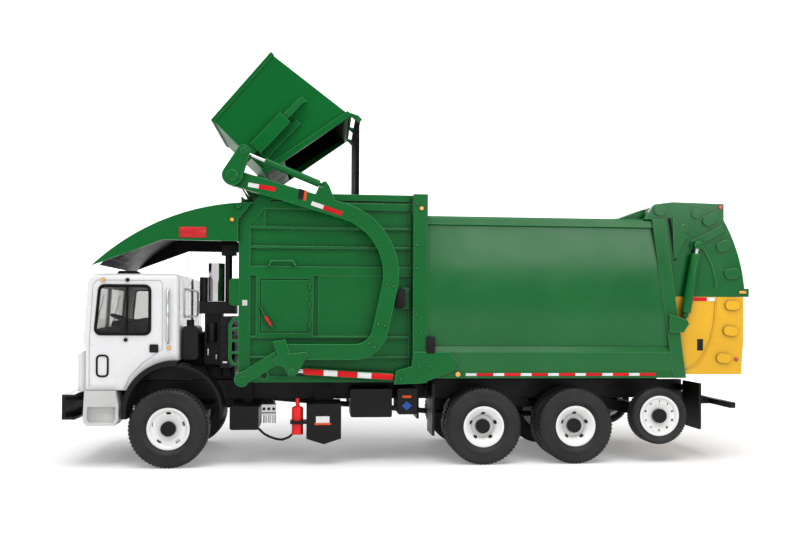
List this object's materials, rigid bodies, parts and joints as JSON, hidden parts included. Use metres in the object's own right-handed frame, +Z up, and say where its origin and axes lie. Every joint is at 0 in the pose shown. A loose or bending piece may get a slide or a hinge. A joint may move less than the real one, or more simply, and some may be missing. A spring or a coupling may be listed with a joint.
{
  "type": "garbage truck scale model",
  "caption": "Die-cast model of a front-loading garbage truck: low cab, gooseneck lift arms tipping a bin over the hopper, and a tailgate that swings up.",
  "frame": {"origin": "on the floor, under the middle of the bounding box", "axes": "+X towards the tailgate, +Y to the truck's right, +Z up"},
  "size_m": [0.28, 0.0826, 0.1678],
  "materials": {
    "white_paint": "gloss",
    "green_paint": "gloss",
    "yellow_paint": "gloss",
    "black_paint": "satin",
    "black_plastic": "matte",
    "grey_plastic": "satin",
    "tyre_rubber": "matte",
    "wheel_white": "gloss",
    "chrome": "polished",
    "steel": "satin",
    "glass": "clear",
    "lamp_clear": "gloss",
    "amber": "gloss",
    "red": "gloss"
  },
  "bodies": {
    "root": {"ladder_frame": "black_paint", "front_bumper": "black_paint", "front_axle_beam": "black_paint", "leaf_springs": "black_paint", "rear_axle_housings": "black_paint", "engine_and_driveline": "black_paint", "chassis_boxes": "black_plastic", "hydraulic_tank": "black_plastic", "fire_extinguisher": "red", "valve_block": "steel", "exhaust_stack": "chrome", "air_intake": "black_plastic", "mud_flaps": "black_plastic", "rear_guard": "black_paint", "display_screw_bosses": "black_paint", "cab_shell": "white_paint", "cab_glass": "glass", "cab_nose": "white_paint", "grille": "black_plastic", "headlamps": "lamp_clear", "wheel_arches": "black_plastic", "cab_steps": "grey_plastic", "cab_inside": "black_plastic", "steering_wheel": "black_plastic", "hopper_side_walls": "green_paint", "hopper_front_wall": "green_paint", "canopy": "green_paint", "body_portal_frame": "green_paint", "body_side_walls": "green_paint", "body_roof": "green_paint", "body_floor": "black_paint", "marker_lamps": "amber"},
    "packer": {"packer_panel": "green_paint"},
    "arms": {"lift_arms": "green_paint"},
    "lift_barrels": {"lift_cylinder_barrels": "green_paint"},
    "lift_rods": {"lift_cylinder_rods": "chrome"},
    "forks": {"fork_shaft": "chrome", "fork_tines_and_cranks": "green_paint"},
    "tilt_barrels": {"tilt_cylinder_barrels": "green_paint"},
    "tilt_rods": {"tilt_cylinder_rods": "chrome"},
    "bin": {"bin_shell": "green_paint"},
    "lids": {"bin_lids": "black_plastic"},
    "tailgate": {"tailgate_upper": "green_paint", "tailgate_lower": "yellow_paint", "tail_lamps": "red"},
    "gate_barrels": {"gate_cylinder_barrels": "green_paint"},
    "gate_rods": {"gate_cylinder_rods": "chrome"},
    "front_wheels": {"front_tyres": "tyre_rubber", "front_rims": "wheel_white", "front_axle_pin": "black_paint"},
    "drive_one_wheels": {"drive_one_tyres": "tyre_rubber", "drive_one_rims": "wheel_white", "drive_one_axle_pin": "black_paint"},
    "drive_two_wheels": {"drive_two_tyres": "tyre_rubber", "drive_two_rims": "wheel_white", "drive_two_axle_pin": "black_paint"},
    "tag_wheels": {"tag_tyres": "tyre_rubber", "tag_rims": "wheel_white", "tag_axle_pin": "black_paint"}
  },
  "joints": [
    {"name": "front_wheels_spin", "type": "hinge", "parent": "root", "child": "front_wheels", "pos_m": [-0.0991, 0, 0.0155], "axis": [0, -1, 0], "continuous": true},
    {"name": "drive_one_wheels_spin", "type": "hinge", "parent": "root", "child": "drive_one_wheels", "pos_m": [0.0266, 0, 0.0155], "axis": [0, -1, 0], "continuous": true},
    {"name": "drive_two_wheels_spin", "type": "hinge", "parent": "root", "child": "drive_two_wheels", "pos_m": [0.0649, 0, 0.0155], "axis": [0, -1, 0], "continuous": true},
    {"name": "tag_wheels_spin", "type": "hinge", "parent": "root", "child": "tag_wheels", "pos_m": [0.1006, 0, 0.0195], "axis": [0, -1, 0], "continuous": true},
    {"name": "arms_lower", "type": "hinge", "parent": "root", "child": "arms", "pos_m": [-0.0704, 0, 0.0352], "axis": [0, -1, 0], "range_deg": [0, 94]},
    {"name": "forks_tilt", "type": "hinge", "parent": "arms", "child": "forks", "pos_m": [-0.0743, 0, 0.1149], "axis": [0, -1, 0], "range_deg": [0, 38]},
    {"name": "bin_slide_off", "type": "slide", "parent": "forks", "child": "bin", "axis": [0.6756, 0, 0.7373], "range_m": [0, 0.04]},
    {"name": "lids_swing", "type": "hinge", "parent": "bin", "child": "lids", "pos_m": [-0.02495, 0, 0.14124], "axis": [0, 1, 0], "range_deg": [-215, 54]},
    {"name": "tailgate_open", "type": "hinge", "parent": "root", "child": "tailgate", "pos_m": [0.0996, 0, 0.1048], "axis": [0, -1, 0], "range_deg": [0, 75]},
    {"name": "packer_push", "type": "slide", "parent": "root", "child": "packer", "axis": [1, 0, 0], "range_m": [0, 0.15]},
    {"name": "lift_barrel_pivot", "type": "hinge", "parent": "root", "child": "lift_barrels", "pos_m": [-0.008, 0, 0.0356], "axis": [0, -1, 0], "range_deg": [-12.56, 0.5]},
    {"name": "lift_rod_slide", "type": "slide", "parent": "lift_barrels", "child": "lift_rods", "axis": [-0.998, 0, 0.0627], "range_m": [-0.0002, 0.02654]},
    {"name": "tilt_barrel_pivot", "type": "hinge", "parent": "arms", "child": "tilt_barrels", "pos_m": [-0.0387, 0, 0.1118], "axis": [0, -1, 0], "range_deg": [-0.5, 3.17]},
    {"name": "tilt_rod_slide", "type": "slide", "parent": "tilt_barrels", "child": "tilt_rods", "axis": [-0.9287, 0, 0.3709], "range_m": [-0.0002, 0.00671]},
    {"name": "gate_barrel_pivot", "type": "hinge", "parent": "root", "child": "gate_barrels", "pos_m": [0.1107, 0, 0.0586], "axis": [0, -1, 0], "range_deg": [-0.5, 3.84]},
    {"name": "gate_rod_slide", "type": "slide", "parent": "gate_barrels", "child": "gate_rods", "axis": [0.1754, 0, 0.9845], "range_m": [-0.0002, 0.02686]}
  ],
  "couplings": [
    {"joint": "lift_barrel_pivot", "follows": "arms_lower", "ratio": -0.12835},
    {"joint": "lift_rod_slide", "follows": "arms_lower", "m_per_rad": 0.016053},
    {"joint": "tilt_barrel_pivot", "follows": "forks_tilt", "ratio": 0.070387},
    {"joint": "tilt_rod_slide", "follows": "forks_tilt", "m_per_rad": 0.0098121},
    {"joint": "gate_barrel_pivot", "follows": "tailgate_open", "ratio": 0.04453},
    {"joint": "gate_rod_slide", "follows": "tailgate_open", "m_per_rad": 0.020367}
  ]
}
